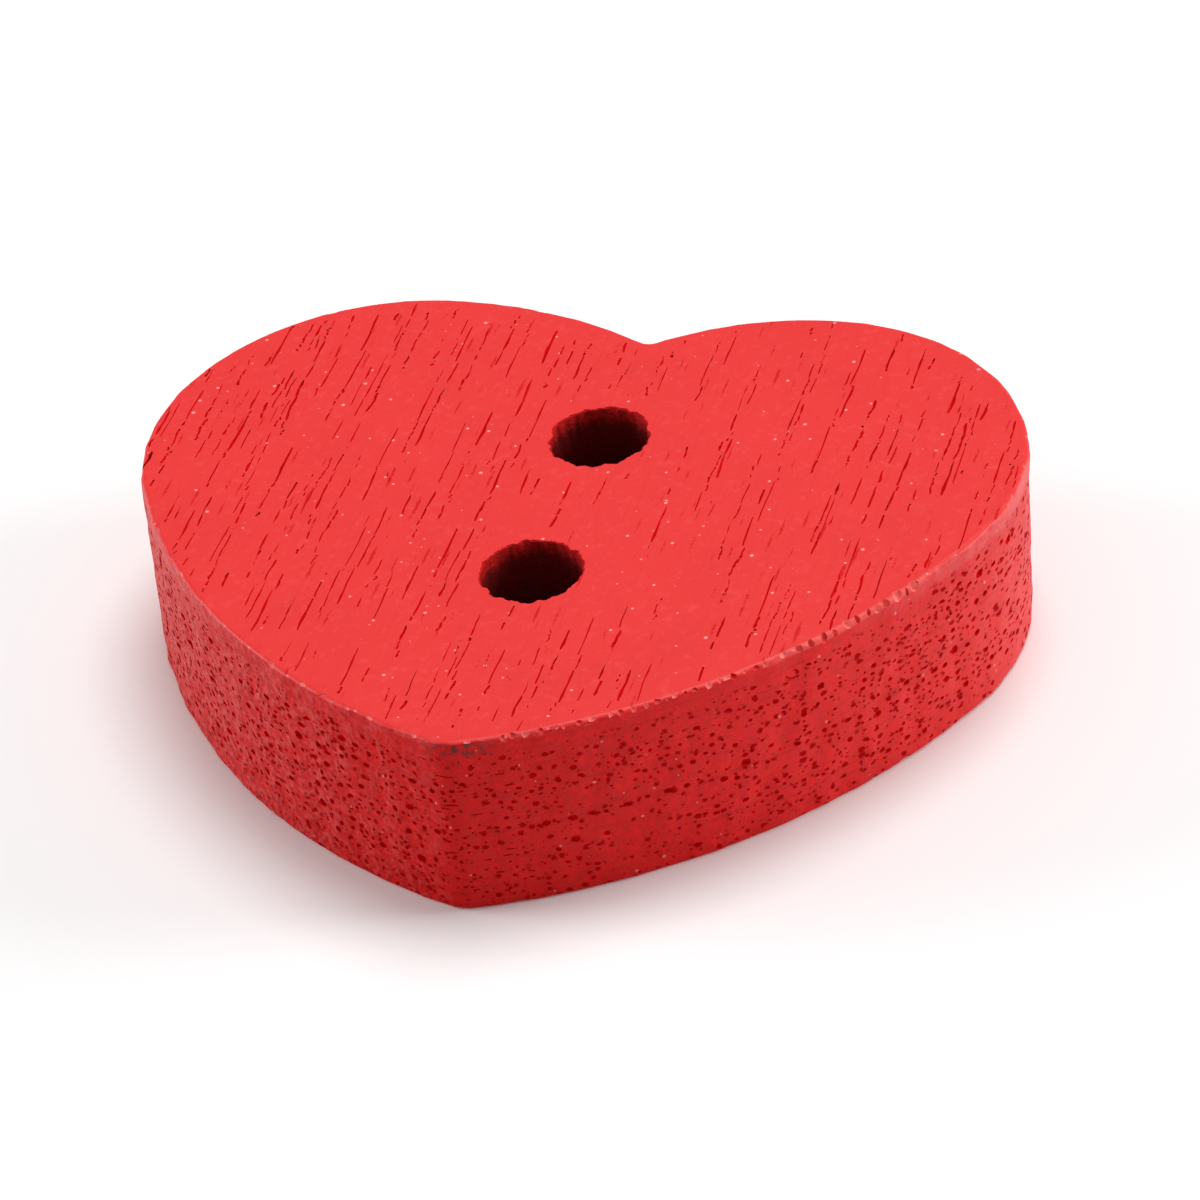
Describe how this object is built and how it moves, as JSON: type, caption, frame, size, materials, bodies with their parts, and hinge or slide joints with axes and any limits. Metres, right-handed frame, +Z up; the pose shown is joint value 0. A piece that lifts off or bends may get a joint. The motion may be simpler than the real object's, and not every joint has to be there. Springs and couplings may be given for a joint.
{
  "type": "heart-shaped wooden sewing button",
  "caption": "Thick heart-shaped button cut from red-painted wood, with sewing holes drilled in line with the point.",
  "frame": {"origin": "on the underside, below the middle of the button's outline", "axes": "+X across both lobes, +Y from the point to the cleft, +Z up through the sewing holes to the upper face"},
  "size_m": [0.0202, 0.016, 0.0045],
  "materials": {
    "red_painted_wood": "satin paint"
  },
  "bodies": {
    "root": {"heart_button": "red_painted_wood"}
  },
  "joints": []
}
